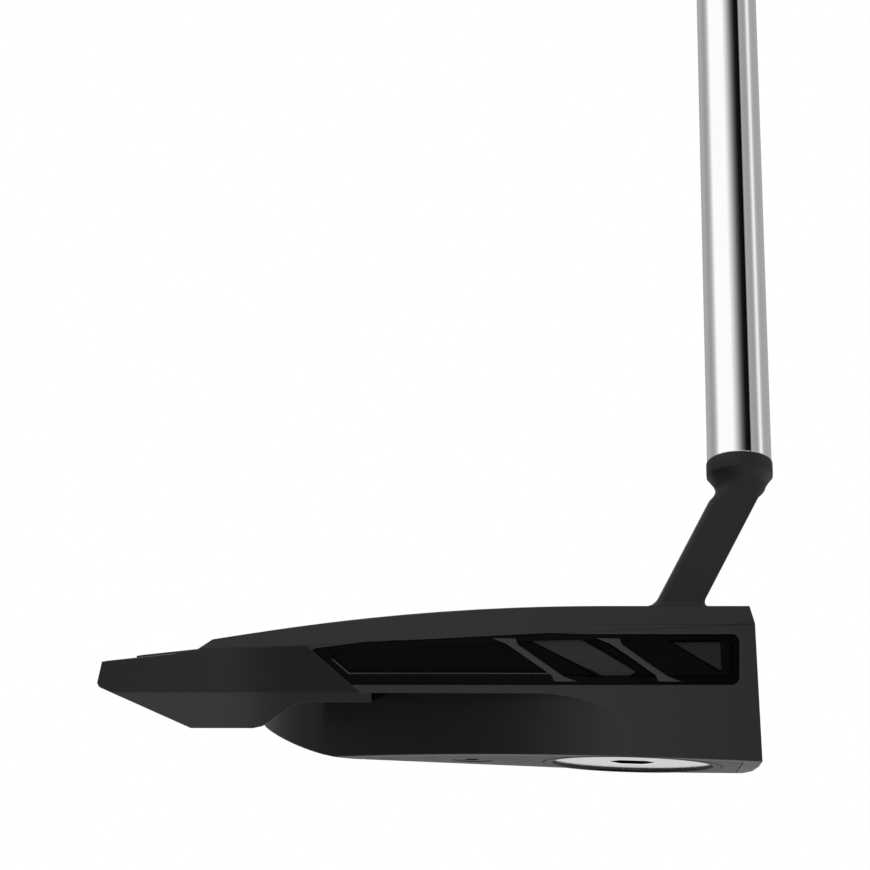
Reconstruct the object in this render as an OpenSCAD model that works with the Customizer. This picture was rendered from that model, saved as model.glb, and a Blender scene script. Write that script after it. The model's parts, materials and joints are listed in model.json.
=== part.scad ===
// Mallet putter: a winged head with side windows, a slanted neck, a steel shaft that
// fits over the neck's post, and a pistol grip.
// Frame: +X to the target, +Y to the heel, +Z up. The origin is on the ground, on the
// sight line, in the middle of the flat land behind the leading edge.

/* [Club] */
// Club length along the shaft, from the ground to the butt
club_length = 864; // [838:1:890]
// Lean of the shaft from vertical, towards the heel
lie_lean = 20; // [18:0.5:22]
// Lean of the shaft away from the target
back_lean = 0.1; // [0:0.1:1]
// Lean of the face away from the target
loft = 3; // [2:0.5:4]

/* [Head] */
// Width from toe to heel
head_width = 100.8; // [100:0.2:104]
// Height of the crown's front edge
crown_z = 25; // [24.8:0.1:26]
// Distance from the origin to the face, at ground level
face_x = 6.2; // [6:0.1:7]
// Distance from the origin back to the wing tips
wing_tip = 90.7; // [90:0.1:94]
// Tilt of the toe and heel parts of the sole
camber = 6.9; // [6.4:0.1:7.4]
// Rise of the sole to the back
sole_rise = 2.64; // [2.2:0.02:2.8]

/* [Sole weights] */
// Diameter of the weight's disc
weight_d = 23.5; // [21:0.5:23.5]
// Thickness of the disc
weight_t = 4.7; // [4:0.1:5]
// Diameter of the threaded boss
boss_d = 10; // [8:0.5:11]
// Across flats of the hexagonal key socket
socket_af = 6; // [4:0.5:7]

/* [Shaft and grip] */
// Outside diameter at the flared tip
tip_d = 10.5; // [10.2:0.1:10.8]
// Outside diameter above the flare
shank_d = 9.9; // [9.4:0.1:10.1]
// Outside diameter at the butt
butt_d = 15; // [14.6:0.2:15.4]
// Wall of the tube
shaft_wall = 0.55; // [0.45:0.05:0.7]
// Number of step-downs
shaft_steps = 14; // [10:1:14]
// Length of the grip
grip_length = 267; // [255:1:275]

/* [Hidden] */
$fn = 96;

gap = 0.03;              // assembly gap between parts that sit in each other
big = 130;
half_w = head_width / 2;
widest_x = -17;          // station where the head is widest
front_r = 150;           // plan radius of the side wall ahead of that station
rear_r = 700;            // plan radius behind it
crown_draft = 0.3;       // inward lean of the upper sides, per unit of height
lean_step = 0.1;         // step where that lean starts
seam_fall = 2.6;         // fall of the line where that lean starts

// Side profile
deck_z = 22.4;           // level joint between the front block and the crown
deck_back_x = -19;
belt_z = 12.4;           // lower edge of the belt that carries the window
seam = [[-24, 21], [-52, 19.6], [-76.1, 18.67]];  // joint under the crown's arms
belt_end = [[-60.1, 19.287], [-52.2, 12.4]];      // slanted back end of the belt
crown_fall_x = -14;      // where the crown starts to fall
crown_r = 372;           // radius of that fall
crown_end = [-64.9, 26]; // upper end of the slope that closes the crown's arms
land_half = 4.5;         // half the length of the flat land
edge_z = 1.4;            // height of the leading edge's rounding
edge_mid = [1.2, 0.45];  // middle of that rounding, from the end of the land
edge_top = [0.6, 2.5];    // bevel on the crown's front edge, back and down

// Pod between the arms
pod_floor_z = 16;
pod_back_x = -68;
pod_r = 75;              // plan radius of the pod's sides
pod_back_r = 60;
pod_start_x = -10;       // where the pod's sides leave the side wall
block_foot = [-27, -10.6]; // stations where the belt's edge turns down and where it ends
hull_x = -50;            // where the pod's underside turns up
hull_r = 38;
bay_x = -19;             // front of the open bay between the arms
bay_corner_r = 10;
arm_inner = 33;          // inner face of the arms and wings

// Wing
wing_lean = 0.45;        // inward lean of the wing's side below the crease, per unit
wing_low_z = 7.2;
foot_z = 11.05;          // underside of the wing's thin forward foot
wing_screw = [-72, 39.5];
wing_dowel = [-65.5, 39.5];
tongue = [[-80, 36, 12.7], [-50, 43, 16.4]];

// Window in the belt
window_floor = 44.5;     // distance of the liner's floor from the sight line
liner_wall = 0.8;
liner_inset = 0.45;      // how far the liner's rim lies inside the side wall
brace_inset = 0.3;
land_out = 47.6;         // distance of the raised lands from the sight line
brace_z = [14.05, 20.35];
brace_top_x = -31.6;     // middle of the first brace's upper end
brace_run = 9.2;
brace_pitch = 15.1;
brace_half = 0.8;
brace_flare = 1.8;       // half width of a brace's flared ends
pocket_outline = [
    [2.64, 13.62], [2.64, 20.9], [-20, 20.9], [-25, 21.07], [-42, 20.2], [-52, 19.7],
    [-61, 18.6], [-54.9, 13.62]
];
// Inner edge of the liner's rim
window_outline = [
    [1.84, 14.75], [1.84, 20.06], [-24, 20.06], [-42, 19.23], [-57.5, 18.05],
    [-54.05, 15.1], [-24, 15.1], [-19, 14.75]
];

// Weight port, measured along its own axis from the sole's surface
weight_at = [-12.35, 37];
weight_inset = 0.3;
washer_t = 0.8;
washer_r = 9;
boss_l = 5.6;
socket_depth = 3;
port_clear = 0.15;
thread_clear = 0.06;
port_rim_r = 13.2;       // ring of the body that stays around the port
camber_at = [-17, 22.5]; // a point of the line where the camber starts
camber_slant = 0.26;     // plan slant of that line

// Neck and shaft
neck_foot = [-2.5, 21.8];
neck_size = [7.4, 7];
neck_corner = 1.6;
neck_flare = 1.1;        // growth of the neck at its foot
seat = [7.95, 30, 48.2];  // centre of the shaft's lower end
collar_d = 10.8;
collar_h = 2.4;
collar_cone = 1.8;
foot_post_r = 3;
foot_post_bottom = 10.4;
hosel_thread_r = 1.5;
hosel_thread_top = 18;
screw_head_r = 2.75;
screw_head_z = [2.7, 5.4];
post_l = 28;
flare_l = 110;
step_start = 238;
step_l = 22;
cap_t = 3.5;
cap_r = 12.6;
tape_t = 0.2;
plug_l = 8;
shaft_l = club_length - norm(seat_drop()) - cap_t;
grip_start = shaft_l + cap_t - grip_length;
step_rise = (butt_d - shank_d) / 2 / shaft_steps;
grip_flat = 8.9;         // distance of the grip's flat front from the shaft's axis
grip_lean = 0.75;        // lean of the grip's own axis behind the shaft's axis
// Radii of the grip at stations along it
grip_profile = [
    [9, 0], [9.7, 0.18], [10.4, 0.5], [11.1, 0.76], [12.3, 0.9], [12.8, 0.96], [12.9, 1.05]
];

// Plate, insert and fastener sizes
plate_t = 2.2;
plate_inset = 3;
plate_back_x = -52;
insert_size = [15.4, 76];
insert_t = 2.4;
insert_corner = 3;
pad_t = 0.8;
insert_mid_z = 12;
groove = [0.6, 1.4, 0.3]; // width, pitch and depth
line_size = [40, 2];
line_mid_x = -43;
line_depth = 0.35;
rear_plate_screw = [-36, 36];
front_plate_screw_x = -8;
screw_r = 1.5;
screw_l = 8;

function shaft_axis() = [
    -cos(lie_lean) * sin(back_lean), sin(lie_lean), cos(lie_lean) * cos(back_lean)
];
function seat_drop() = [seat.z * tan(back_lean), seat.z * tan(lie_lean), seat.z];
function face_at(z) = face_x - z * tan(loft);
function rise_z(x) = (-land_half - x) * tan(sole_rise);
function camber_z(p) = (p.y - camber_at.y - (p.x - camber_at.x) * camber_slant) * tan(camber);

// ---- Shared shapes ----

module box(low, high) {
    translate(low) cube(high - low);
}

// Prism with a side outline of [x, z] points, between two distances from the sight line
module side_prism(points, low, high) {
    translate([0, high, 0]) rotate([90, 0, 0]) linear_extrude(high - low) polygon(points);
}

module both_sides() {
    children();
    mirror([0, 1, 0]) children();
}

// Everything inside the plan outline; the walls lean in by draft per unit of height
module planform(low, high, inset = 0, draft = 0) {
    planform_part(front_r, [widest_x, big], [low, high], inset, draft);
    planform_part(rear_r, [-big, widest_x], [low, high], inset, draft);
}

module planform_part(r, stations, z, inset, draft) {
    intersection() {
        side_wall(r, z, inset, draft);
        mirror([0, 1, 0]) side_wall(r, z, inset, draft);
        box([stations[0], -big, z[0]], [stations[1], big, z[1]]);
    }
}

module side_wall(r, z, inset, draft) {
    h = z[1] - z[0];
    translate([widest_x, half_w - r, z[0]])
        cylinder(r1 = r - inset, r2 = r - inset - draft * h, h = h, $fn = r > 400 ? 720 : 360);
}

// Everything inside the head's sides; above a slightly falling line they lean inward
module head_sides() {
    intersection() {
        planform(-5, 30);
        translate([face_x, 0, deck_z]) rotate([0, -seam_fall, 0]) translate([-face_x, 0, 0]) {
            planform(0, 12, lean_step, crown_draft);
            box([-big, -big, -40], [big, big, 0]);
        }
    }
}

module beyond_face() {
    side_prism([
        [land_half, -5], [land_half, 0], [land_half, 0] + edge_mid, [face_at(edge_z), edge_z],
        [face_at(crown_z - edge_top.y), crown_z - edge_top.y],
        [face_at(crown_z) - edge_top.x, crown_z], [face_at(crown_z) - edge_top.x, 35],
        [40, 35], [40, -5]
    ], -big, big);
}

// Space under the sole, raised by lift
module below_sole(lift = 0) {
    deep = 30;
    box([-big, -big, -deep], [big, big, lift]);
    translate([-land_half, 0, lift]) rotate([0, sole_rise, 0])
        box([-big, -big, -deep], [0, big, 0]);
    both_sides() on_camber(camber_at) translate([0, 0, lift])
        box([-big, -big, -deep], [big, big, 0]);
    translate([hull_x, 0, lift + rise_z(hull_x)]) difference() {
        box([-32, -big, -deep], [0, big, 14]);
        translate([0, 0, hull_r]) rotate([90, 0, 0])
            cylinder(r = hull_r, h = 2 * big, center = true, $fn = 240);
    }
}

// Frame on the heel side's sole at a plan point, Z up into the head and square to the sole
module on_camber(p) {
    translate([p.x, p.y, camber_z(p)]) rotate([camber, camber_slant * camber, 0]) children();
}

// Open bay between the arms, above low
module bay(low) {
    mid_x = bay_x - bay_corner_r;
    mid_y = arm_inner - bay_corner_r;
    box([-big, -arm_inner, low], [mid_x, arm_inner, 35]);
    box([mid_x, -mid_y, low], [bay_x, mid_y, 35]);
    both_sides() translate([mid_x, mid_y, low]) cylinder(r = bay_corner_r, h = 35 - low);
}

// Pod between the arms, with its sides moved out by grow
module pod(grow = 0) {
    intersection() {
        translate([pod_start_x, half_w - pod_r, -5]) cylinder(r = pod_r + grow, h = 30, $fn = 240);
        translate([pod_start_x, pod_r - half_w, -5]) cylinder(r = pod_r + grow, h = 30, $fn = 240);
        translate([pod_back_x + pod_back_r, 0, -5])
            cylinder(r = pod_back_r + grow, h = 30, $fn = 240);
        box([-big, -big, -5], [pod_start_x, big, pod_floor_z]);
    }
}

// Frame of the shaft: origin at its lower end, Z along it, X towards the target
module shaft_frame() {
    translate(seat) rotate([-lie_lean, -back_lean, 0]) children();
}

// Frame of the face: origin at the insert's centre, Z out of the face, X down
module face_frame() {
    translate([face_at(insert_mid_z), 0, insert_mid_z]) rotate([0, 90 - loft, 0]) children();
}

module slab(size, t, corner) {
    linear_extrude(t) offset(corner, $fn = 48) square(size - 2 * [corner, corner], center = true);
}

// ---- Body ----

// Slab that follows the sole, inside the plan outline of the sole plate
module sole_slab(t, grow) {
    difference() {
        intersection() {
            below_sole(t);
            union() {
                intersection() {
                    planform(-5, 15, plate_inset - grow);
                    box([pod_start_x, -big, -5], [land_half - 1 + grow, big, 15]);
                }
                intersection() {
                    pod(grow - plate_inset);
                    box([plate_back_x - grow, -big, -5], [pod_start_x, big, 15]);
                }
            }
        }
        both_sides() on_camber(weight_at) translate([0, 0, -5])
            cylinder(r = port_rim_r - grow, h = 15);
    }
}

module weight_port() {
    seat_at = weight_inset + weight_t + washer_t;
    on_camber(weight_at) {
        translate([0, 0, -5]) cylinder(r = weight_d / 2 + port_clear, h = 5 + seat_at);
        cylinder(r = boss_d / 2 + thread_clear, h = seat_at + boss_l + 0.6);
    }
}

module plate_screw_places() {
    both_sides() on_camber(rear_plate_screw) children();
    translate([front_plate_screw_x, 0, rise_z(front_plate_screw_x)]) rotate([0, sole_rise, 0])
        children();
}

// Prism over a side outline with rounded corners, from a depth to beyond the side wall
module window_prism(points, corner, depth, grow = 0) {
    translate([0, 60, 0]) rotate([90, 0, 0]) linear_extrude(60 - depth)
        offset(corner + grow, $fn = 32) offset(-corner) polygon(points);
}

module window_pocket(grow = 0) {
    window_prism(pocket_outline, 1, window_floor - liner_wall - grow, grow);
}

module body() {
    foot_run = block_foot[1] - block_foot[0];
    block_outline = concat(
        [[10, -3], [10, deck_z], [deck_back_x, deck_z], seam[0], seam[1]],
        belt_end,
        [for (a = [0:6:90])
            [block_foot[0] + foot_run * sin(a), belt_z * pow(cos(a), 0.8)]],
        [[block_foot[1], -3]]
    );
    color([0.17, 0.17, 0.18]) difference() {
        union() {
            intersection() {
                head_sides();
                union() {
                    side_prism(block_outline, -60, 60);
                    pod();
                }
            }
            both_sides() box(tongue[0], tongue[1]);
        }
        beyond_face();
        below_sole();
        bay(pod_floor_z);
        sole_slab(plate_t + gap, gap);
        both_sides() weight_port();
        both_sides() window_pocket(gap);
        face_frame() translate([0, 0, -insert_t - pad_t - gap])
            slab(insert_size + 2 * [gap, gap], 10, insert_corner + gap);
        translate([neck_foot.x, neck_foot.y, foot_post_bottom - gap])
            cylinder(r = foot_post_r + gap, h = 20);
        translate([neck_foot.x, neck_foot.y, 0]) {
            cylinder(r = screw_r + gap, h = 20);
            cylinder(r = screw_head_r + gap, h = screw_head_z[1] + gap);
        }
        plate_screw_places() cylinder(r = screw_r + gap, h = screw_l + 0.5);
        both_sides() wing_fastener_holes();
        translate([line_mid_x, 0, pod_floor_z - line_depth]) linear_extrude(2)
            square(line_size + 2 * [gap, gap], center = true);
    }
}

module crown() {
    outline = [
        [10, deck_z], [10, 26], crown_end, seam[2], seam[1], seam[0], [deck_back_x, deck_z]
    ];
    color([0.2, 0.2, 0.21]) difference() {
        intersection() {
            head_sides();
            side_prism(outline, -60, 60);
            union() {
                box([crown_fall_x, -big, 0], [big, big, crown_z]);
                intersection() {
                    box([-big, -big, 0], [crown_fall_x, big, 30]);
                    translate([crown_fall_x, 0, crown_z - crown_r]) rotate([90, 0, 0])
                        cylinder(r = crown_r, h = 2 * big, center = true, $fn = 720);
                }
            }
        }
        bay(0);
        beyond_face();
        both_sides() window_pocket(gap);
        translate([neck_foot.x, neck_foot.y, 0]) cylinder(r = foot_post_r + gap, h = 40);
    }
}

module sole_plate() {
    color([0.45, 0.45, 0.47]) difference() {
        sole_slab(plate_t, 0);
        below_sole();
        plate_screw_places() {
            translate([0, 0, -5]) cylinder(r = screw_r + 0.1, h = 20);
            translate([0, 0, -0.01]) cylinder(r1 = screw_r + 1.5, r2 = screw_r, h = 1.51);
        }
    }
}

module sole_plate_screws() {
    color([0.6, 0.6, 0.62]) plate_screw_places() difference() {
        union() {
            translate([0, 0, 0.1]) cylinder(r1 = screw_r + 1.35, r2 = screw_r, h = 1.35);
            translate([0, 0, 0.1]) cylinder(r = screw_r, h = screw_l - 0.1);
        }
        cylinder(r = 1.15, h = 1.3, $fn = 6);
    }
}

// ---- Face ----

module face_insert() {
    rows = floor((insert_size.x - 1.6) / groove[1]);
    color([0.3, 0.3, 0.32]) face_frame() difference() {
        translate([0, 0, -insert_t]) slab(insert_size, insert_t, insert_corner);
        for (i = [0:rows - 1])
            translate([(i - (rows - 1) / 2) * groove[1] - groove[0] / 2, -35, -groove[2]])
                cube([groove[0], 70, 1]);
    }
}

module insert_pad() {
    color([0.1, 0.1, 0.1]) face_frame() translate([0, 0, -insert_t - pad_t])
        slab(insert_size - [0.4, 0.4], pad_t, insert_corner);
}

// ---- Wings ----

module wing_fastener_holes() {
    translate([wing_screw.x, wing_screw.y, wing_low_z]) {
        cylinder(r = screw_r + gap, h = 8.6);
        translate([0, 0, -3]) cylinder(r = 2.9, h = 5.2);
    }
    translate([wing_dowel.x, wing_dowel.y, 10 - gap]) cylinder(r = 1 + gap, h = 5.56);
}

module wing() {
    outline = [
        [-wing_tip + 0.7, 16.9], [-79.75, 18], seam[2], belt_end[0], belt_end[1],
        [-50.7, belt_z], [-50.7, foot_z], [-60.7, foot_z], [-62.5, 10.4], [-66.6, 7.5],
        [-68, wing_low_z], [-77.1, wing_low_z], [-wing_tip + 0.3, 13.2], [-wing_tip, 13.8]
    ];
    lean_in = wing_lean * (belt_z + 5);
    difference() {
        intersection() {
            side_prism(outline, arm_inner, 60);
            union() {
                planform(belt_z, 30);
                planform(-5, belt_z, lean_in, -wing_lean);
            }
        }
        pod(gap);
        box(tongue[0] - [gap, gap, gap], tongue[1] + [gap, gap, gap]);
        wing_fastener_holes();
    }
}

module toe_wing() {
    color([0.18, 0.18, 0.19]) mirror([0, 1, 0]) wing();
}

module heel_wing() {
    color([0.18, 0.18, 0.19]) wing();
}

module wing_screws() {
    color([0.55, 0.55, 0.57]) both_sides() translate([wing_screw.x, wing_screw.y, wing_low_z])
        difference() {
            union() {
                translate([0, 0, 0.3]) cylinder(r = 2.75, h = 1.9);
                translate([0, 0, 0.3]) cylinder(r = screw_r, h = 8.2);
            }
            cylinder(r = 1.45, h = 1.5, $fn = 6);
        }
}

module wing_dowels() {
    color([0.6, 0.6, 0.62]) both_sides() translate([wing_dowel.x, wing_dowel.y, 10])
        cylinder(r = 1, h = 5.5);
}

// ---- Windows ----

module brace(x) {
    low = brace_z[0];
    high = brace_z[1];
    end = 0.14 * (high - low);
    side_prism([
        [x - brace_flare, high], [x + brace_flare, high],
        [x + brace_half + brace_run * 0.14, high - end],
        [x + brace_half + brace_run * 0.86, low + end],
        [x + brace_flare + brace_run, low], [x - brace_flare + brace_run, low],
        [x - brace_half + brace_run * 0.86, low + end],
        [x - brace_half + brace_run * 0.14, high - end]
    ], window_floor - 0.1, 60);
}

// The pocket, closed off at the wing's front edge and inset from the side wall
module liner_space(inset) {
    intersection() {
        window_pocket();
        planform(-5, 30, inset);
        side_prism([
            [20, 0], [20, 40], belt_end[0] + [gap, 20], belt_end[0] + [gap, 0],
            belt_end[1] + [gap, 0], belt_end[1] + [gap, -10]
        ], 0, 60);
    }
}

module window_liner() {
    second_x = brace_top_x + brace_pitch;
    difference() {
        liner_space(liner_inset);
        window_prism(window_outline, 0.7, window_floor);
    }
    intersection() {
        union() {
            brace(brace_top_x);
            brace(second_x);
            side_prism([
                [second_x - 10.9, 20.1], [second_x - 3, 20.2], [second_x + 4.7, 15.4],
                [second_x + 3.3, 14.7], [second_x - 1.3, 14.7]
            ], window_floor - 0.1, land_out);
            side_prism([
                [second_x + 9.4, 19.8], [second_x + 16.6, 19.9], [second_x + 16.8, 15.4]
            ], window_floor - 0.1, land_out);
        }
        liner_space(brace_inset);
    }
}

module toe_window_liner() {
    color([0.05, 0.05, 0.05]) mirror([0, 1, 0]) window_liner();
}

module heel_window_liner() {
    color([0.05, 0.05, 0.05]) window_liner();
}

// ---- Weights ----

module weight() {
    on_camber(weight_at) translate([0, 0, weight_inset]) difference() {
        union() {
            cylinder(r = weight_d / 2, h = weight_t);
            cylinder(r = boss_d / 2, h = weight_t + washer_t + boss_l);
        }
        translate([0, 0, -1]) cylinder(r = socket_af / sqrt(3), h = socket_depth + 1, $fn = 6);
    }
}

module weight_washer() {
    on_camber(weight_at) translate([0, 0, weight_inset + weight_t]) difference() {
        cylinder(r = washer_r, h = washer_t);
        translate([0, 0, -1]) cylinder(r = boss_d / 2 + thread_clear, h = 5);
    }
}

module toe_weight() {
    color([0.75, 0.75, 0.77]) mirror([0, 1, 0]) weight();
}

module heel_weight() {
    color([0.75, 0.75, 0.77]) weight();
}

module toe_weight_washer() {
    color([0.08, 0.08, 0.08]) mirror([0, 1, 0]) weight_washer();
}

module heel_weight_washer() {
    color([0.08, 0.08, 0.08]) weight_washer();
}

module sight_line() {
    color([0.95, 0.95, 0.95]) translate([line_mid_x, 0, pod_floor_z - line_depth])
        linear_extrude(line_depth) square(line_size, center = true);
}

// ---- Neck ----

// Thin slice of the neck, part of the way from its foot to the collar's lower end
module neck_section(part, size) {
    foot = [neck_foot.x, neck_foot.y, crown_z];
    end = seat - (collar_h + collar_cone) * shaft_axis();
    translate(foot + part * (end - foot)) slab(size, 0.02, neck_corner);
}

module hosel() {
    color([0.16, 0.16, 0.17]) difference() {
        union() {
            hull() {
                neck_section(0, neck_size);
                neck_section(1.08, neck_size);
            }
            hull() {
                neck_section(0, neck_size + 2 * [neck_flare, neck_flare]);
                neck_section(0.06, neck_size - [0.2, 0.2]);
            }
            shaft_frame() {
                translate([0, 0, -collar_h - collar_cone])
                    cylinder(d1 = neck_size.x + 0.9, d2 = collar_d, h = collar_cone);
                translate([0, 0, -collar_h]) cylinder(d = collar_d, h = collar_h);
                cylinder(r = tip_d / 2 - shaft_wall - 0.08, h = post_l);
            }
            translate([neck_foot.x, neck_foot.y, foot_post_bottom])
                cylinder(r = foot_post_r, h = crown_z + 1 - foot_post_bottom);
        }
        translate([neck_foot.x, neck_foot.y, 0]) cylinder(r = hosel_thread_r + gap, h = hosel_thread_top);
    }
}

module hosel_screw() {
    color([0.55, 0.55, 0.57]) translate([neck_foot.x, neck_foot.y, 0]) difference() {
        union() {
            translate([0, 0, screw_head_z[0]])
                cylinder(r = screw_head_r, h = screw_head_z[1] - screw_head_z[0]);
            translate([0, 0, screw_head_z[0]]) cylinder(r = hosel_thread_r, h = 14.5);
        }
        cylinder(r = 1.45, h = screw_head_z[0] + 1.6, $fn = 6);
    }
}

// ---- Shaft and grip ----

// Half outline of the shaft, drawn in by inset from its outer surface
function shaft_outline(inset) = concat(
    [[tip_d / 2 - inset, 0], [shank_d / 2 - inset, flare_l]],
    [for (i = [0:shaft_steps - 1], end = [0, 1])
        [shank_d / 2 + (i + end) * step_rise - inset, step_start + i * step_l + 0.6 * end]],
    [[butt_d / 2 - inset, shaft_l]]
);

module shaft() {
    inner = shaft_outline(shaft_wall);
    last = len(inner) - 1;
    color([0.8, 0.8, 0.82]) shaft_frame() rotate_extrude()
        polygon(concat(shaft_outline(0), [for (i = [0:last]) inner[last - i]]));
}

module tip_plug() {
    top = post_l + 0.5 + plug_l;
    narrowing = (tip_d - shank_d) / 2 * top / flare_l;
    color([0.75, 0.65, 0.45]) shaft_frame() translate([0, 0, top - plug_l])
        cylinder(r = tip_d / 2 - narrowing - shaft_wall - 0.02, h = plug_l);
}

module grip_tape() {
    color([0.85, 0.83, 0.75]) shaft_frame() translate([0, 0, grip_start]) difference() {
        cylinder(r = butt_d / 2 + tape_t, h = shaft_l - grip_start);
        translate([0, 0, -1]) cylinder(d = butt_d, h = grip_length + 2);
    }
}

module grip_frame() {
    translate([0, 0, grip_start]) rotate([-grip_lean, 0, 0]) children();
}

module grip() {
    rubber_l = grip_length - cap_t;
    color([0.07, 0.07, 0.07]) shaft_frame() difference() {
        intersection() {
            grip_frame() rotate_extrude()
                polygon(concat(
                    [[0, -1], [grip_profile[0].x, -1]],
                    [for (p = grip_profile) [p.x, p.y * rubber_l]],
                    [[0, 1.05 * rubber_l]]
                ));
            box([-40, -grip_flat, grip_start], [40, 40, shaft_l]);
        }
        translate([0, 0, grip_start - 1]) cylinder(r = butt_d / 2 + tape_t, h = grip_length + 2);
    }
}

module grip_cap() {
    color([0.12, 0.12, 0.12]) shaft_frame() difference() {
        intersection() {
            translate([0, (grip_length - cap_t) * sin(grip_lean), shaft_l])
                cylinder(r1 = cap_r, r2 = cap_r - 0.9, h = cap_t);
            box([-40, 0.3 - grip_flat, shaft_l - 1], [40, 40, shaft_l + cap_t + 1]);
        }
        translate([0, 0, shaft_l - 1]) cylinder(r = 1.25, h = cap_t + 2);
    }
}

body();
crown();
sole_plate();
sole_plate_screws();
face_insert();
insert_pad();
toe_wing();
heel_wing();
wing_screws();
wing_dowels();
toe_window_liner();
heel_window_liner();
toe_weight();
heel_weight();
toe_weight_washer();
heel_weight_washer();
sight_line();
hosel();
hosel_screw();
shaft();
tip_plug();
grip_tape();
grip();
grip_cap();
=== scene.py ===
"""Looks of the mallet putter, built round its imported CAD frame.

Blender works in metres; the shapes here are given in millimetres and scaled by MM.
Row frame: +X to the target, +Y from toe to heel, +Z up.
"""

import json
import math

import bmesh
import bpy
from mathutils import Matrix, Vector

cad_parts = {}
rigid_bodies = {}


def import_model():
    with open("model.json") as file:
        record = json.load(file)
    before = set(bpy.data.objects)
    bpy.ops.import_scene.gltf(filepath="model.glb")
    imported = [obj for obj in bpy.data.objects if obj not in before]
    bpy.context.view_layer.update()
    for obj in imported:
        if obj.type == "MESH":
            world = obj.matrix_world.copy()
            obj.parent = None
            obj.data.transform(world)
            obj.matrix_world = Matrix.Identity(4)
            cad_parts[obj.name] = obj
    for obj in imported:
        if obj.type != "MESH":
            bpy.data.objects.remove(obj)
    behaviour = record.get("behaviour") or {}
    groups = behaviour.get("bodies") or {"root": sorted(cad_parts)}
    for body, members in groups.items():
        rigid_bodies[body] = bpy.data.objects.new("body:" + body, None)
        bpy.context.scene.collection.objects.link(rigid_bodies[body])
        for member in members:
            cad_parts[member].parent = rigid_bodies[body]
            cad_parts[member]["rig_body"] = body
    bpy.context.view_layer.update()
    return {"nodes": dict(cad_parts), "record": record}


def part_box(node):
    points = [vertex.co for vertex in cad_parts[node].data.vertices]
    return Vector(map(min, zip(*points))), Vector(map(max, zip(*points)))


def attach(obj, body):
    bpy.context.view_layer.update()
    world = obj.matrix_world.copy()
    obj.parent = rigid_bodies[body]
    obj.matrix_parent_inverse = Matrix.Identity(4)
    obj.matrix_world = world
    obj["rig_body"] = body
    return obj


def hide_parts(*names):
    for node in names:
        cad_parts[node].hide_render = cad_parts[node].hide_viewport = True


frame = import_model()
nodes = frame["nodes"]
MM = 0.001
scene = bpy.context.scene


def box_mm(node):
    """Low and high corners of a CAD node's box."""
    low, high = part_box(node)
    return low / MM, high / MM


CROWN_Z = box_mm("crown")[1].z
HALF_WIDTH = box_mm("body")[1].y
SHAFT_LEAN = math.radians(20)      # towards the heel


# ---- Camera ----

CAMERA_LENS = 192.2
CAMERA_X, CAMERA_Y = -41.47, -724
CAMERA_TILT = math.radians(2.108)  # up from level


def make_camera():
    """Level with the crown, beside the toe, looking square to the target line and slightly up."""
    data = bpy.data.cameras.new("camera")
    camera = bpy.data.objects.new("camera", data)
    scene.collection.objects.link(camera)
    data.sensor_width = 36
    data.lens = CAMERA_LENS
    data.clip_start, data.clip_end = 0.01, 50
    camera.location = Vector((CAMERA_X, CAMERA_Y, CROWN_Z)) * MM
    camera.rotation_euler = (math.radians(90) + CAMERA_TILT, 0, 0)
    scene.camera = camera


# ---- Node helpers ----

class Tree:
    """Small helper for writing node trees."""

    def __init__(self, tree):
        self.tree = tree

    def add(self, kind, inputs=None, **settings):
        node = self.tree.nodes.new(kind)
        for key, value in settings.items():
            setattr(node, key, value)
        for key, value in (inputs or {}).items():
            self.feed(node.inputs[key], value)
        return node

    def feed(self, socket, value):
        if isinstance(value, bpy.types.NodeSocket):
            self.tree.links.new(value, socket)
        else:
            socket.default_value = value

    def math(self, operation, *values):
        node = self.add("ShaderNodeMath", operation=operation)
        for socket, value in zip(node.inputs, values):
            self.feed(socket, value)
        return node.outputs[0]

    def smooth(self, value, low, high):
        """0 below low, 1 above high, smooth between."""
        node = self.add("ShaderNodeMapRange", {0: value, 1: low, 2: high},
                        interpolation_type="SMOOTHSTEP")
        return node.outputs[0]

    def mix(self, factor, a, b):
        node = self.add("ShaderNodeMix", data_type="FLOAT")
        for socket, value in zip((node.inputs[0], node.inputs[2], node.inputs[3]), (factor, a, b)):
            self.feed(socket, value)
        return node.outputs[0]

    def blend(self, factor, a, b):
        """Colour between a and b."""
        node = self.add("ShaderNodeMix", {0: factor}, data_type="RGBA")
        self.feed(node.inputs[6], a)
        self.feed(node.inputs[7], b)
        return node.outputs[2]

    def ramp(self, value, stops):
        """Grey ramp from (position, level) stops."""
        node = self.add("ShaderNodeValToRGB", {0: value})
        ramp = node.color_ramp
        while len(ramp.elements) < len(stops):
            ramp.elements.new(0.5)
        for element, (place, level) in zip(ramp.elements, stops):
            element.position = place
            element.color = (level, level, level, 1)
        return node.outputs[0]

    def noise(self, scale, detail=2.0, rough=0.5, stretch=None):
        coords = self.add("ShaderNodeTexCoord").outputs["Object"]
        if stretch:
            coords = self.add("ShaderNodeMapping", {"Vector": coords, "Scale": stretch}).outputs[0]
        node = self.add("ShaderNodeTexNoise", {"Vector": coords, "Scale": scale, "Detail": detail,
                                               "Roughness": rough})
        return node.outputs["Fac"]


# ---- Studio ----

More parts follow.
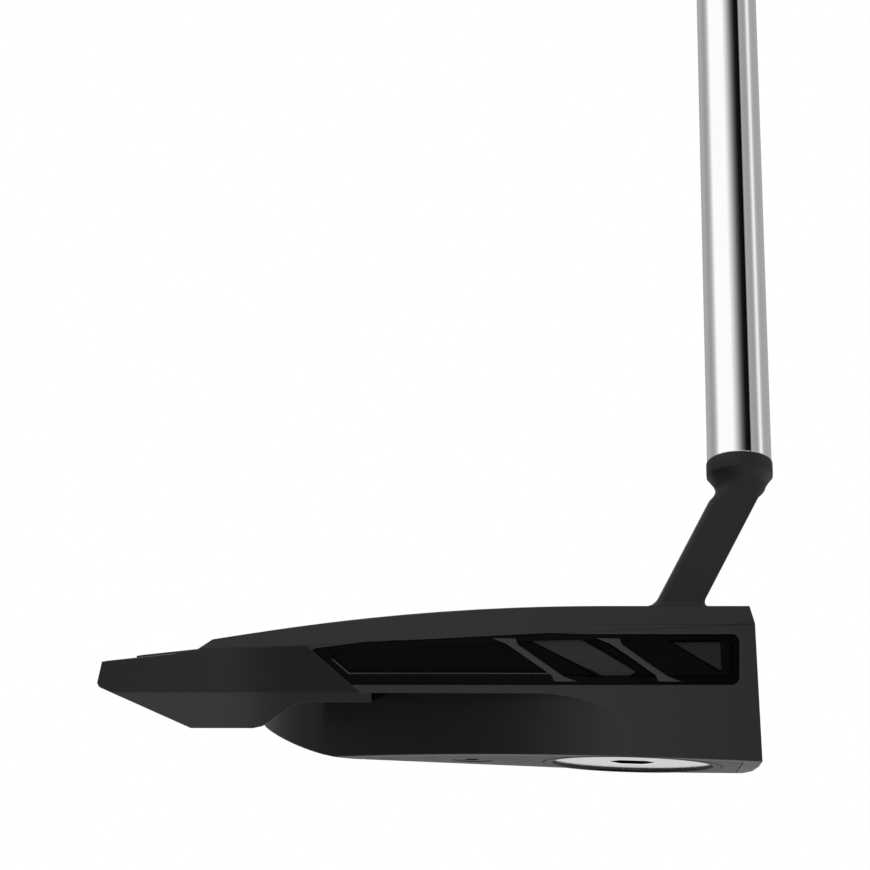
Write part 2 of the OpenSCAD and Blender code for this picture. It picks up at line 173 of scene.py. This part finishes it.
# Light levels by direction, as (degrees, level) stops. The degrees of the first three run round
# the vertical from the toe side, positive to the target; HIGH's run round the shaft's axis.
LEVEL_LIGHT = [(-180, 0.7), (-177, 0.3), (-172, 0.1), (-130, 0.1), (-92, 0.2), (-71, 0.22),
               (-54, 0.07), (-39, 0.0), (-30, 0.0), (-18, 0.2), (-9, 0.85), (-2, 1.0), (5, 0.8),
               (13, 0.45), (25, 0.4), (60, 0.4), (130, 0.3), (165, 0.12), (172, 0.7), (180, 0.7)]
MID_LIGHT = [(-180, 0.6), (-130, 0.3), (-70, 0.12), (-36, 0.2), (-20, 0.8), (-8, 1.1), (0, 0.75),
             (12, 0.95), (30, 1.0), (60, 0.4), (180, 0.6)]
HIGH_LIGHT = [(-180, 0.38), (-140, 0.42), (-108, 0.33), (-92, 0.5), (-78, 1.05), (-24, 1.05),
              (-11, 0.66), (0, 0.34), (11, 0.1), (22, 0.01), (40.3, 0.0), (41.3, 0.4), (52, 0.36),
              (66, 0.34), (74, 0.55), (78, 0.9), (87, 0.9), (92, 0.5), (106, 0.38), (180, 0.42)]
LOW_LIGHT = 1.1
# Bands of height over which one set of levels gives way to the next. The heights are those of
# unit directions, MID_TO_HIGH's along the shaft.
LOW_TO_LEVEL = (-0.42, -0.2)
LEVEL_TO_MID = (0.12, 0.3)
MID_TO_HIGH = (0.25, 0.33)
FLOOR_Z = -420
FLOOR_HALF = 6000
PAPER = (0.93, 0.93, 0.93, 1)


def by_degrees(t, vector, stops):
    """Level by the angle of a direction round Z, from -Y towards +X."""
    parts = t.add("ShaderNodeSeparateXYZ", {0: vector}).outputs
    angle = t.math("ARCTAN2", parts[0], t.math("MULTIPLY", parts[1], -1.0))
    place = t.math("MULTIPLY_ADD", angle, 0.5 / math.pi, 0.5)
    return t.ramp(place, [((degrees + 180) / 360, level) for degrees, level in stops])


def make_world():
    """White to the camera; to the object, soft boxes, a dark flag and pale walls."""
    world = bpy.data.worlds.new("studio")
    scene.world = world
    world.use_nodes = True
    t = Tree(world.node_tree)
    direction = t.add("ShaderNodeTexCoord").outputs["Generated"]
    leaned = t.add("ShaderNodeMapping", {"Vector": direction, "Rotation": (SHAFT_LEAN, 0, 0)},
                   vector_type="POINT").outputs[0]
    up = t.add("ShaderNodeSeparateXYZ", {0: direction}).outputs[2]
    along_shaft = t.add("ShaderNodeSeparateXYZ", {0: leaned}).outputs[2]
    light = t.blend(t.smooth(up, *LOW_TO_LEVEL), (LOW_LIGHT, LOW_LIGHT, LOW_LIGHT, 1),
                    by_degrees(t, direction, LEVEL_LIGHT))
    light = t.blend(t.smooth(up, *LEVEL_TO_MID), light, by_degrees(t, direction, MID_LIGHT))
    light = t.blend(t.smooth(along_shaft, *MID_TO_HIGH), light,
                    by_degrees(t, leaned, HIGH_LIGHT))
    seen = t.add("ShaderNodeLightPath").outputs["Is Camera Ray"]
    background = world.node_tree.nodes["Background"]
    t.feed(background.inputs["Color"], t.blend(seen, light, (1, 1, 1, 1)))
    scene.view_settings.view_transform = "Standard"


def make_floor():
    """Pale paper well below the club, too far down to show in the photo's view."""
    mesh = bpy.data.meshes.new("floor")
    side = FLOOR_HALF * MM
    mesh.from_pydata([(-side, -side, 0), (side, -side, 0), (side, side, 0), (-side, side, 0)],
                     [], [(0, 1, 2, 3)])
    floor = bpy.data.objects.new("floor", mesh)
    floor.location.z = FLOOR_Z * MM
    scene.collection.objects.link(floor)
    made, t, bsdf = material("floor_paper")
    speckle = t.noise(60, 3)
    bsdf.inputs["Base Color"].default_value = PAPER
    t.feed(bsdf.inputs["Roughness"], t.mix(speckle, 0.85, 0.95))
    mesh.materials.append(made)
    floor.visible_glossy = False


# ---- Materials ----

def material(name):
    made = bpy.data.materials.new(name)
    made.use_nodes = True
    tree = made.node_tree
    return made, Tree(tree), tree.nodes["Principled BSDF"]


FINE_GRAIN, COARSE_GRAIN = 4000, 90
EDGE_R = 0.22                      # rounding of every edge, in the shading only
# Lighter edge colour: partly rubbed metal, partly a painted highlight for the light that rounded
# edges catch.
EDGE_WEAR_AND_HIGHLIGHT_COLOUR = (0.13, 0.13, 0.135, 1)
EDGE_WEAR_AND_HIGHLIGHT_TURN = (0.985, 0.9)           # cosines of an edge's turn where the lighter edges, partly rubbed metal and partly painted highlight, start and are full
LOOKS_DOWN = (-0.75, -0.92)        # upward parts of a normal where under, a painted shade on faces that look down, starts and is full
BUMP_STRENGTH = 0.35


def finish_material(name, colour, rough, metallic=0.0, grain=FINE_GRAIN, spread=0.15, bump=0.0,
                    ior=1.5, edge_wear_and_highlight=0.0, stretch=None, front_shade=None, under_shade_ior=None):
    """A finish with grain: colour varies with coarse noise, roughness with coarse and fine.

    worn is how far the edges turn lighter, partly rubbed metal and partly a painted highlight.
    fade is (from x, to x, IOR there), a painted shade: a lower IOR towards the target darkens the
    front. under is the IOR of the faces that look down, a painted shade that dims their
    reflection.
    """
    made, t, bsdf = material(name)
    fine = t.noise(grain, 2, 0.6, stretch)
    coarse = t.noise(COARSE_GRAIN, 3, 0.55)
    shade = t.math("MULTIPLY_ADD", coarse, spread, 1 - spread)
    base = t.blend(shade, (0, 0, 0, 1), (*colour, 1))
    roughness = t.math("ADD", t.math("MULTIPLY_ADD", fine, rough * 0.3, rough * 0.85),
                       t.math("MULTIPLY_ADD", coarse, 0.06, -0.03))
    rounded = t.add("ShaderNodeBevel", {"Radius": EDGE_R * MM}, samples=4).outputs[0]
    # Painted highlight and rubbing: edges where the rounded normal turns away from the flat one
    # get the lighter colour.
    if edge_wear_and_highlight:
        flat = t.add("ShaderNodeNewGeometry").outputs["Normal"]
        same = t.add("ShaderNodeVectorMath", {0: rounded, 1: flat}, operation="DOT_PRODUCT")
        edge = t.smooth(same.outputs["Value"], *EDGE_WEAR_AND_HIGHLIGHT_TURN)
        wear_and_highlight_mask = t.math("MULTIPLY", edge, t.math("MULTIPLY_ADD", fine, edge_wear_and_highlight, edge_wear_and_highlight * 0.6))
        base = t.blend(wear_and_highlight_mask, base, EDGE_WEAR_AND_HIGHLIGHT_COLOUR)
    t.feed(bsdf.inputs["Base Color"], base)
    t.feed(bsdf.inputs["Roughness"], roughness)
    bsdf.inputs["Metallic"].default_value = metallic
    bsdf.inputs["IOR"].default_value = ior
    # Painted shade: the IOR falls towards the target, so the front of the piece reflects less and
    # reads darker.
    if front_shade:
        start, end, front_ior = front_shade
        coords = t.add("ShaderNodeTexCoord").outputs["Object"]
        x = t.add("ShaderNodeSeparateXYZ", {0: coords}).outputs[0]
        t.feed(bsdf.inputs["IOR"], t.mix(t.smooth(x, start * MM, end * MM), ior, front_ior))
    # Painted shade: faces that look down get a lower IOR, so they reflect less and read darker.
    if under_shade_ior:
        normal = t.add("ShaderNodeNewGeometry").outputs["Normal"]
        up = t.add("ShaderNodeSeparateXYZ", {0: normal}).outputs[2]
        t.feed(bsdf.inputs["IOR"], t.mix(t.smooth(up, *LOOKS_DOWN), ior, under_shade_ior))
    if bump:
        lift = t.add("ShaderNodeBump", {"Height": fine, "Normal": rounded,
                                        "Strength": BUMP_STRENGTH, "Distance": bump * MM})
        rounded = lift.outputs[0]
    t.feed(bsdf.inputs["Normal"], rounded)
    return made


MATERIALS = {
    # under paints shade on the body's faces that look down: their IOR drops so they reflect less.
    "black_metal": finish_material("satin_black", (0.0085, 0.0085, 0.009), 0.36, grain=5200,
                                   bump=0.005, edge_wear_and_highlight=0.03, under_shade_ior=1.12),
    "crown_metal": finish_material("crown_black", (0.0095, 0.0095, 0.01), 0.38, grain=5200,
                                   bump=0.005, edge_wear_and_highlight=0.03),
    # fade is painted shade: the wing's IOR falls towards the target, darkening its front where the
    # lower panel turns from the light.
    # worn 0.25 paints a strong light line along the wing's edges, partly rubbed metal, partly a
    # painted highlight.
    "wing_metal": finish_material("wing_black", (0.007, 0.007, 0.0074), 0.37, grain=5200,
                                  bump=0.005, edge_wear_and_highlight=0.25, ior=1.48, front_shade=(-73, -62, 1.31)),
    "neck_metal": finish_material("neck_black", (0.028, 0.028, 0.0285), 0.52,
                                  grain=6000, bump=0.005, edge_wear_and_highlight=0.05, ior=1.34),
    "sole_metal": finish_material("sole_grey", (0.016, 0.016, 0.017), 0.42, grain=3000,
                                  bump=0.005, ior=1.12, stretch=(1, 0.04, 1)),
    # Near-black and almost unreflecting: painted shade inside the weight sockets and on the port
    # rims; also the sole plate screws' finish.
    "port_black": finish_material("port_black", (0.004, 0.004, 0.0042), 0.3, grain=3000,
                                  ior=1.06),
    # The liner's own gloss black, taken near-black with a low IOR so it barely reflects: partly
    # its colour, partly painted shade deep in the window.
    "window_black": finish_material("gloss_black_and_shade", (0.0012, 0.0012, 0.0013), 0.16, grain=700,
                                    ior=1.13),
    "brace_black": finish_material("brace_black", (0.014, 0.014, 0.0145), 0.34, grain=5200,
                                   bump=0.005, ior=1.54),
    # The lands are copies of the brace's satin black painted darker, the front land most: painted
    # shade for their depth in the window.
    "middle_land_shaded_black": finish_material("middle_land_shaded_black", (0.01, 0.01, 0.0105), 0.34, grain=5200,
                                    ior=1.44),
    "front_land_shaded_black": finish_material("front_land_shaded_black", (0.006, 0.006, 0.0063), 0.36, grain=5200,
                                  ior=1.33),
    "insert_metal": finish_material("insert_grey", (0.09, 0.09, 0.094), 0.38, 1.0, grain=2600,
                                    bump=0.01, stretch=(1, 0.03, 1)),
    "pad_rubber": finish_material("pad_rubber", (0.012, 0.012, 0.012), 0.7, grain=2500, bump=0.05),
    "weight_steel": finish_material("polished_steel", (0.78, 0.78, 0.78), 0.1, 1.0, grain=900),
    "screw_steel": finish_material("dark_steel", (0.2, 0.2, 0.21), 0.3, 1.0, grain=2600,
                                   bump=0.01),
    "line_paint": finish_material("line_paint", (0.75, 0.75, 0.74), 0.5, grain=1800, bump=0.02),
    "shaft_chrome": finish_material("chrome", (0.93, 0.93, 0.935), 0.02, 1.0, grain=300,
                                    spread=0.02),
    "plug_cork": finish_material("plug_foam", (0.5, 0.36, 0.2), 0.85, grain=1500, bump=0.2,
                                 spread=0.5),
    "tape_fabric": finish_material("tape_weave", (0.6, 0.57, 0.48), 0.9, grain=2500, bump=0.1),
    "grip_rubber": finish_material("grip_rubber", (0.014, 0.014, 0.0145), 0.62, grain=2200,
                                   bump=0.06, spread=0.3),
}
NODE_FINISH = {s["node"]: s["material_slot"] for s in frame["record"]["subparts"]}


# ---- Mesh helpers ----

MERGE = 0.0005                     # points nearer than this are one point
FLAT_DEG = 0.3                     # faces that turn less than this are one face
BEVEL_DEG = 28                     # edges of a CAD node that turn more than this are rounded


def bevel_edges(piece, width):
    """Adds a modifier that rounds the sharp edges, and returns it."""
    rounding = piece.modifiers.new("rounding", "BEVEL")
    rounding.width = width * MM
    rounding.segments = 2
    rounding.limit_method = "ANGLE"
    return rounding


def mesh_from(bm, name):
    """Closed mesh with its faces turned outwards."""
    bmesh.ops.recalc_face_normals(bm, faces=bm.faces)
    mesh = bpy.data.meshes.new(name)
    bm.to_mesh(mesh)
    bm.free()
    return mesh


def join_rings(bm, rings):
    """Faces between each ring of points and the next."""
    for low, high in zip(rings, rings[1:]):
        for i in range(len(low)):
            j = (i + 1) % len(low)
            bm.faces.new((low[i], low[j], high[j], high[i]))


def shade(mesh, smooth_deg):
    """Smooth shading, with the edges that turn more than smooth_deg kept sharp."""
    mesh.shade_smooth()
    bm = bmesh.new()
    bm.from_mesh(mesh)
    for edge in bm.edges:
        edge.smooth = edge.calc_face_angle(0) < math.radians(smooth_deg)
    bm.to_mesh(mesh)
    bm.free()


def new_object(name, mesh, finish, node, smooth_deg=30):
    """Adds a finished piece that stands for a CAD node and rides with that node's body."""
    mesh.materials.clear()
    mesh.materials.append(MATERIALS[finish])
    shade(mesh, smooth_deg)
    piece = bpy.data.objects.new(name, mesh)
    scene.collection.objects.link(piece)
    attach(piece, nodes[node]["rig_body"])
    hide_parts(node)
    return piece


def machined(node, finish, bevel, weight=80, sharp_deg=30):
    """The CAD node's shape with its flat faces joined up and its sharp edges rounded."""
    mesh = nodes[node].data.copy()
    bm = bmesh.new()
    bm.from_mesh(mesh)
    bmesh.ops.remove_doubles(bm, verts=bm.verts, dist=MERGE * MM)
    bmesh.ops.dissolve_limit(bm, angle_limit=math.radians(FLAT_DEG), verts=bm.verts,
                             edges=bm.edges)
    bm.to_mesh(mesh)
    bm.free()
    piece = new_object(node + "_machined", mesh, finish, node, sharp_deg)
    bevel_edges(piece, bevel).angle_limit = math.radians(BEVEL_DEG)
    even = piece.modifiers.new("even", "WEIGHTED_NORMAL")
    even.keep_sharp = True
    even.weight = weight
    return piece


def prism(name, node, finish, outline, low, reach, bevel, side):
    """Prism on a side outline of (x, z) points, from low to reach(x) out from the sight line."""
    bm = bmesh.new()
    inner = [bm.verts.new(Vector((x, side * low, z)) * MM) for x, z in outline]
    outer = [bm.verts.new(Vector((x, side * reach(x), z)) * MM) for x, z in outline]
    bm.faces.new(inner)
    bm.faces.new(outer)
    join_rings(bm, [inner, outer])
    piece = new_object(name, mesh_from(bm, name), finish, node)
    bevel_edges(piece, bevel)


def lofted(name, node, finish, sections, smooth_deg=35, hollow=False):
    """Closed skin over rings of equally many points; a hollow one's last ring joins its first."""
    bm = bmesh.new()
    rings = [[bm.verts.new(Vector(point) * MM) for point in ring] for ring in sections]
    join_rings(bm, rings + rings[:1] if hollow else rings)
    if not hollow:
        bm.faces.new(rings[0])
        bm.faces.new(rings[-1])
    new_object(name, mesh_from(bm, name), finish, node, smooth_deg)


# ---- Window trim ----

WIDEST_X = -17                     # station where the head is widest
FRONT_WALL_R, REAR_WALL_R = 150, 700
LINER_FLOOR, LAND_OUT = 44.45, 47.68    # distances from the sight line
BRACE_INSET, RIM_INSET = 0.24, 0.5      # distances inside the side wall
BRACE_TOP_X, BRACE_PITCH, BRACE_RUN = -31.6, 15.1, 9.2
BRACE_LOW, BRACE_HIGH = 14.0, 20.4
BRACE_HALF, BRACE_FOOT_HALF = 0.85, 1.85
BRACE_FOOT = 0.14                  # share of a brace's length in each flared end
BRACE_BEVEL, LAND_BEVEL, RIM_BEVEL = 0.16, 0.2, 0.05
# Side outlines as (x, z). The lands' x runs from the second brace's top.
MIDDLE_LAND = [(-11.65, 20.14), (-3.6, 20.3), (4.6, 15.42), (3.35, 14.66), (-0.7, 14.66)]
FRONT_LAND = [(9.3, 19.84), (16.64, 19.94), (16.86, 15.3)]
INNER_EDGE = [(-57.45, 18.0), (-54.02, 15.06), (-24.4, 15.06), (-24.8, 15.34), (-53.9, 15.34),
              (-57.1, 18.1)]


def side_wall(x):
    """Distance of the head's side wall from the sight line."""
    radius = FRONT_WALL_R if x > WIDEST_X else REAR_WALL_R
    return HALF_WIDTH - (x - WIDEST_X) ** 2 / (2 * radius)


def brace_outline(x):
    """Slanting bar that falls towards the front and widens at both ends."""
    end_z = BRACE_FOOT * (BRACE_HIGH - BRACE_LOW)
    end_x = BRACE_FOOT * BRACE_RUN
    return [
        (x - BRACE_FOOT_HALF, BRACE_HIGH), (x + BRACE_FOOT_HALF, BRACE_HIGH),
        (x + BRACE_HALF + end_x, BRACE_HIGH - end_z),
        (x + BRACE_HALF + BRACE_RUN - end_x, BRACE_LOW + end_z),
        (x + BRACE_FOOT_HALF + BRACE_RUN, BRACE_LOW), (x - BRACE_FOOT_HALF + BRACE_RUN, BRACE_LOW),
        (x - BRACE_HALF + BRACE_RUN - end_x, BRACE_LOW + end_z),
        (x - BRACE_HALF + end_x, BRACE_HIGH - end_z),
    ]


def window_trim(side, label):
    """Braces, raised lands and the lit inner edge of one window."""
    node = label + "_window_liner"
    second = BRACE_TOP_X + BRACE_PITCH

    def brace_reach(x):
        return side_wall(x) - BRACE_INSET

    def land_reach(x):
        return LAND_OUT

    def rim_reach(x):
        return side_wall(x) - RIM_INSET

    for number, x in enumerate((BRACE_TOP_X, second), 1):
        prism(f"{label}_brace_{number}", node, "brace_black", brace_outline(x), LINER_FLOOR,
              brace_reach, BRACE_BEVEL, side)
    # Darker copies of the brace finish on the lands: painted shade.
    for part, finish, outline in (("middle_land", "middle_land_shaded_black", MIDDLE_LAND),
                                  ("front_land", "front_land_shaded_black", FRONT_LAND)):
        prism(f"{label}_{part}", node, finish, [(second + x, z) for x, z in outline], LINER_FLOOR,
              land_reach, LAND_BEVEL, side)
    prism(label + "_inner_edge", node, "brace_black", INNER_EDGE, LINER_FLOOR, rim_reach,
          RIM_BEVEL, side)


# ---- Neck ----

CORNER_STEPS = 8
CORNER_SIGNS = ((1, 1), (-1, 1), (-1, -1), (1, -1))
BACK_LEAN = math.radians(0.1)      # of the shaft, away from the target
SEAT = Vector((7.95, 30, 48.2))    # centre of the shaft's lower end
NECK_FOOT = Vector((-2.5, 21.8, CROWN_Z))
NECK_WIDTH, NECK_DEPTH, NECK_CORNER = 7.4, 7, 0.8
FLARE, FLARE_H = 1.08, 1.3         # growth at the foot, and its height
FOOT_POST_R, FOOT_POST_L = 3, 14.6  # post down into the body
FOOT_GAP = 0.02                    # between that post and the flare above it
POST_R, POST_L = 4.6, 28           # post up inside the shaft
# Drops are measured from SEAT, down the shaft's line.
COLLAR_R, COLLAR_H, COLLAR_EDGE = 5.4, 2.45, 0.02
COLLAR_BAND = ((2.2, COLLAR_R - COLLAR_EDGE), (1.9, COLLAR_R), (0.3, COLLAR_R),
               (0.08, COLLAR_R - 0.07), (0, COLLAR_R - 0.2), (0, POST_R), (-POST_L, POST_R))
COLLAR_CURVE = 1.25                # 1 would give a straight cone under the collar
NECK_TOP_R, NECK_TOP_DROP, NECK_END_DROP = 4.15, 4.3, 4.2
ROUND_FROM = 0.88                  # part of the neck's height where its section starts to change
ROUND_R, ROUND_DROP, ROUND_CORNER = 3.7, 6.6, 1.4
ROUND_STEPS = 8


def circle(centre, across, along, radius, count, start_deg=0):
    """Points round a circle."""
    turns = [math.radians(start_deg + 360 * k / count) for k in range(count)]
    return [centre + (across * math.cos(turn) + along * math.sin(turn)) * radius
            for turn in turns]


def rounded_ring(centre, across, along, width, depth, corner):
    """Ring round a rounded rectangle, the corners and the flats split into equal steps."""
    def corner_point(i, degrees):
        sign_x, sign_y = CORNER_SIGNS[i % 4]
        return Vector((sign_x * (width / 2 - corner) + corner * math.cos(math.radians(degrees)),
                       sign_y * (depth / 2 - corner) + corner * math.sin(math.radians(degrees))))

    points = []
    for i in range(4):
        points += [corner_point(i, 90 * (i + k / CORNER_STEPS)) for k in range(CORNER_STEPS + 1)]
        flat_start, flat_end = points[-1], corner_point(i + 1, 90 * (i + 1))
        points += [flat_start.lerp(flat_end, k / CORNER_STEPS) for k in range(1, CORNER_STEPS)]
    return [centre + across * u + along * v for u, v in points]


def round_ring(centre, across, along, radius):
    """Circle of as many points as rounded_ring, in step with its corners."""
    return circle(centre, across, along, radius, 8 * CORNER_STEPS, 22.5)


def build_neck():
    """Foot post, flared foot, flat-sided neck, flared collar and the post inside the shaft."""
    flat_x, flat_y, up = Vector((1, 0, 0)), Vector((0, 1, 0)), Vector((0, 0, 1))
    axis = Vector((-math.cos(SHAFT_LEAN) * math.sin(BACK_LEAN), math.sin(SHAFT_LEAN),
                   math.cos(SHAFT_LEAN) * math.cos(BACK_LEAN)))
    across = flat_y.cross(axis).normalized()
    along = axis.cross(across)
    head = SEAT - axis * NECK_END_DROP
    rings = [round_ring(NECK_FOOT - up * FOOT_POST_L, flat_x, flat_y, FOOT_POST_R),
             round_ring(NECK_FOOT - up * FOOT_GAP, flat_x, flat_y, FOOT_POST_R)]
    for k in range(ROUND_STEPS + 1):
        turn = math.radians(90 * k / ROUND_STEPS)
        grow = FLARE * (1 - math.sin(turn))
        centre = NECK_FOOT.lerp(head, FLARE_H * (1 - math.cos(turn)) / (head.z - NECK_FOOT.z))
        rings.append(rounded_ring(centre, flat_x, flat_y, NECK_WIDTH + 2 * grow,
                                  NECK_DEPTH + 2 * grow, NECK_CORNER + grow))
    for k in range(ROUND_STEPS + 1):
        part = k / ROUND_STEPS
        centre = NECK_FOOT.lerp(head, ROUND_FROM + (1 - ROUND_FROM) * part)
        square = rounded_ring(centre, flat_x, flat_y, NECK_WIDTH, NECK_DEPTH,
                              NECK_CORNER + ROUND_CORNER * part)
        drop = ROUND_DROP + (NECK_TOP_DROP - ROUND_DROP) * part
        radius = ROUND_R + (NECK_TOP_R - ROUND_R) * part
        round_one = round_ring(SEAT - axis * drop, across, along, radius)
        smooth_part = part ** 2 * (3 - 2 * part)
        rings.append([a.lerp(b, smooth_part) for a, b in zip(square, round_one)])
    for k in range(1, ROUND_STEPS + 1):
        part = k / ROUND_STEPS
        drop = NECK_TOP_DROP + (COLLAR_H - NECK_TOP_DROP) * part
        radius = NECK_TOP_R + (COLLAR_R - COLLAR_EDGE - NECK_TOP_R) * part ** COLLAR_CURVE
        rings.append(round_ring(SEAT - axis * drop, across, along, radius))
    for drop, radius in COLLAR_BAND:
        rings.append(round_ring(SEAT - axis * drop, across, along, radius))
    lofted("hosel_neck", "hosel", "neck_metal", rings)


# ---- Weight ports ----

CAMBER, CAMBER_SLANT = 6.9, 0.26   # degrees, and plan slant of the line where it starts
CAMBER_AT = Vector((-17, 22.5))
WEIGHT_AT = Vector((-12.35, 37))
SOCKET_R, SOCKET_TOP, SOCKET_DEPTH = 3.4, 0.8, 3.6
PORT_IN, PORT_OUT, PORT_EDGE, PORT_PROUD, PORT_DEPTH = 11.98, 13.14, 0.12, 0.04, 0.5
PORT_STEPS = 96


def port_frame(side):
    """Centre of a weight port on the sole, and the directions across, along and down out of it."""
    rise = WEIGHT_AT.y - CAMBER_AT.y - (WEIGHT_AT.x - CAMBER_AT.x) * CAMBER_SLANT
    camber, slant = math.radians(CAMBER), math.radians(CAMBER_SLANT * CAMBER)
    place = Vector((WEIGHT_AT.x, side * WEIGHT_AT.y, rise * math.tan(camber)))
    across = Vector((math.cos(slant), 0, -math.sin(slant)))
    along = Vector((0, side * math.cos(camber), math.sin(camber)))
    return place, across, along, along.cross(across) * side


def darken_socket(piece, side):
    """Painted shade: the faces inside a weight's key socket take the near-black, barely reflecting
    port finish.
    """
    place, _, _, down = port_frame(side)
    piece.data.materials.append(MATERIALS["port_black"])
    for polygon in piece.data.polygons:
        offset = polygon.center / MM - place
        depth = -offset.dot(down)
        if SOCKET_TOP < depth < SOCKET_DEPTH and (offset + down * depth).length < SOCKET_R:
            polygon.material_index = 1


def port_ring(side, label):
    """Painted shade: the body's rim round one weight, on the sole's camber, as a near-black ring
    that barely reflects, standing for the shadowed gap of the port.
    """
    place, across, along, down = port_frame(side)
    profile = ((PORT_IN, -PORT_DEPTH), (PORT_IN, 0), (PORT_IN + PORT_EDGE, PORT_PROUD),
               (PORT_OUT - PORT_EDGE, PORT_PROUD), (PORT_OUT, 0), (PORT_OUT, -PORT_DEPTH))
    sections = [circle(place + down * drop, across, along, radius, PORT_STEPS)
                for radius, drop in profile]
    lofted(label + "_port_shadow_ring", "body", "port_black", sections, smooth_deg=40, hollow=True)


# ---- Assembly ----

FINISH = dict(NODE_FINISH, crown="crown_metal", toe_wing="wing_metal", heel_wing="wing_metal",
              sole_plate_screws="port_black")
BEVELS = {"body": 0.25, "crown": 0.25, "toe_wing": 0.25, "heel_wing": 0.25, "sole_plate": 0.2,
          "face_insert": 0.06, "toe_window_liner": 0.15, "heel_window_liner": 0.15,
          "toe_weight": 0.3, "heel_weight": 0.3, "sole_plate_screws": 0.15, "wing_screws": 0.15,
          "grip_cap": 0.5, "grip": 0.3}
SIDES = {"toe": -1, "heel": 1}


def build_club():
    """Adds every piece that stands for a CAD node, and gives the CAD nodes their finishes."""
    pieces = {}
    for name, width in BEVELS.items():
        pieces[name] = machined(name, FINISH[name], width, weight=50 if name == "body" else 80,
                                sharp_deg=8 if name.endswith("_wing") else 30)
    for label, side in SIDES.items():
        darken_socket(pieces[label + "_weight"], side)
    for label, side in SIDES.items():
        window_trim(side, label)
    build_neck()
    for label, side in SIDES.items():
        port_ring(side, label)
    for name, node in nodes.items():
        node.data.materials.clear()
        node.data.materials.append(MATERIALS[FINISH[name]])


make_camera()
make_world()
make_floor()
build_club()
